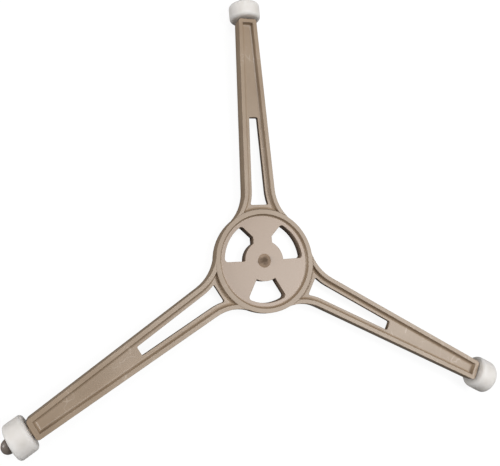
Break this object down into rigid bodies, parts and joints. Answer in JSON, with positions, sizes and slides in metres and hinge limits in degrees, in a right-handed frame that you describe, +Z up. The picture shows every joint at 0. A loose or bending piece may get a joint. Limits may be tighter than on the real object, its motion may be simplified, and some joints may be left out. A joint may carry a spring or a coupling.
{
  "type": "microwave turntable roller support",
  "caption": "Moulded tripod that turns on a motor shaft and carries a glass microwave tray on rollers at its arm ends.",
  "frame": {"origin": "centre of the mouth of the drive socket under the hub, on the hub axis", "axes": "+Z up along the hub axis, away from the socket's mouth; +Y along the arm whose hub spoke is necked"},
  "size_m": [0.2238, 0.1971, 0.015],
  "materials": {
    "spider_plastic": "satin moulded taupe thermoplastic",
    "roller_plastic": "waxy moulded white thermoplastic"
  },
  "bodies": {
    "spider": {"spider": "spider_plastic"},
    "roller_1": {"roller_1": "roller_plastic"},
    "roller_2": {"roller_2": "roller_plastic"},
    "roller_3": {"roller_3": "roller_plastic"}
  },
  "joints": [
    {"name": "roller_1_spin", "type": "hinge", "parent": "spider", "child": "roller_1", "pos_m": [0, 0.1209, 0.0071], "axis": [0, 1, 0], "continuous": true},
    {"name": "roller_2_spin", "type": "hinge", "parent": "spider", "child": "roller_2", "pos_m": [-0.1047, -0.06045, 0.0071], "axis": [-0.866, -0.5, 0], "continuous": true},
    {"name": "roller_3_spin", "type": "hinge", "parent": "spider", "child": "roller_3", "pos_m": [0.1047, -0.06045, 0.0071], "axis": [0.866, -0.5, 0], "continuous": true}
  ]
}
